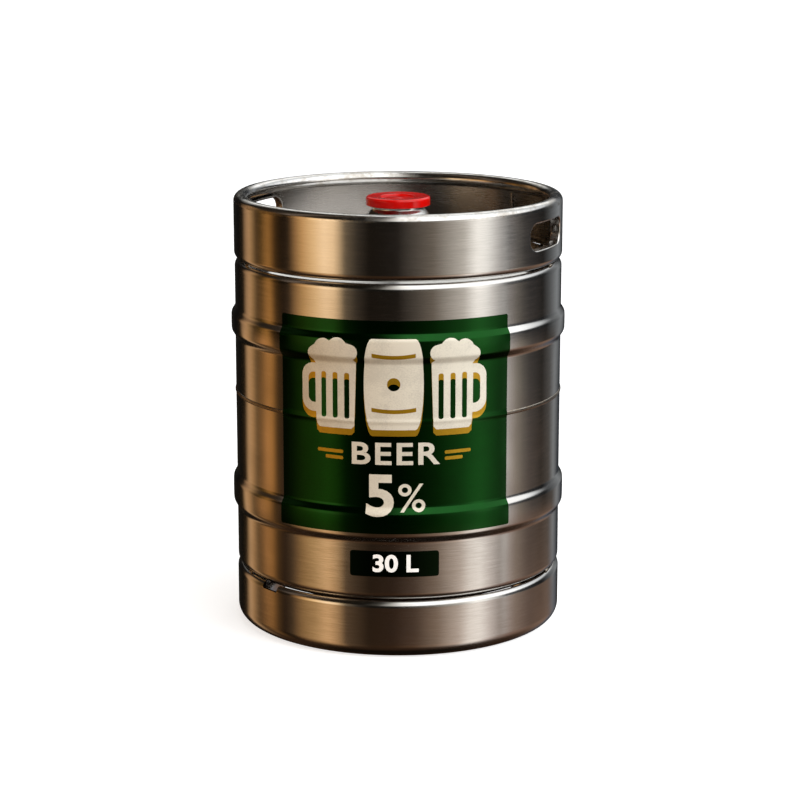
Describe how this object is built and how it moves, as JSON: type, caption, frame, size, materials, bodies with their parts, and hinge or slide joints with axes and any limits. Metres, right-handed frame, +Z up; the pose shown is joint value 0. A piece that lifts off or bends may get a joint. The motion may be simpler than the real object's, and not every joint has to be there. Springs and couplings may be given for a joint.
{
  "type": "beer keg",
  "caption": "Stainless steel draught keg with rolling beads, chimes with hand holes, a dip-tube valve in its neck, a lift-off transit cap and wrap labels.",
  "frame": {"origin": "on the floor at the centre of the bottom chime, on the keg's axis", "axes": "+Z up along the keg's axis, -Y towards the labelled front, +X to the right of someone who faces the label"},
  "size_m": [0.34, 0.3406, 0.44],
  "materials": {
    "brushed_shell": "circumferentially brushed stainless steel",
    "brushed_chime": "circumferentially brushed stainless steel, polished at the rolled edges",
    "weld": "as-welded stainless steel, lightly pickled",
    "polished_fittings": "machined and polished stainless steel",
    "spring_steel": "drawn stainless spring wire",
    "rubber": "moulded food-grade rubber",
    "cap_plastic": "glossy moulded red polyethylene",
    "green_label": "printed film, semi-gloss dark green with cream and gold print",
    "dark_label": "printed film, semi-gloss black-green with white print"
  },
  "bodies": {
    "keg_body": {"upper_shell": "brushed_shell", "lower_shell": "brushed_shell", "girth_weld": "weld", "top_chime": "brushed_chime", "bottom_chime": "brushed_chime", "top_chime_weld": "weld", "bottom_chime_weld": "weld", "top_chime_seam": "weld", "bottom_chime_seam": "weld", "neck_socket": "polished_fittings", "neck_weld": "weld", "spear_housing": "polished_fittings", "housing_o_ring": "rubber", "retaining_ring": "spring_steel", "spring_retainer": "polished_fittings", "gas_spring": "spring_steel", "main_label": "green_label", "volume_label": "dark_label"},
    "gas_valve": {"gas_valve_seal": "rubber", "down_tube": "polished_fittings", "beer_spring": "spring_steel"},
    "beer_valve": {"beer_valve_ball": "polished_fittings"},
    "cap": {"dust_cap": "cap_plastic"}
  },
  "joints": [
    {"name": "gas_valve_slide", "type": "slide", "parent": "keg_body", "child": "gas_valve", "axis": [0, 0, -1], "range_m": [0, 0.008], "stiffness_N_per_m": 6000, "springref_m": -0.004, "deforming": ["gas_spring"]},
    {"name": "beer_valve_slide", "type": "slide", "parent": "gas_valve", "child": "beer_valve", "axis": [0, 0, -1], "range_m": [0, 0.005], "stiffness_N_per_m": 1500, "springref_m": -0.003, "deforming": ["beer_spring"]},
    {"name": "cap_lift", "type": "slide", "parent": "keg_body", "child": "cap", "axis": [0, 0, 1], "range_m": [0, 0.06]}
  ]
}
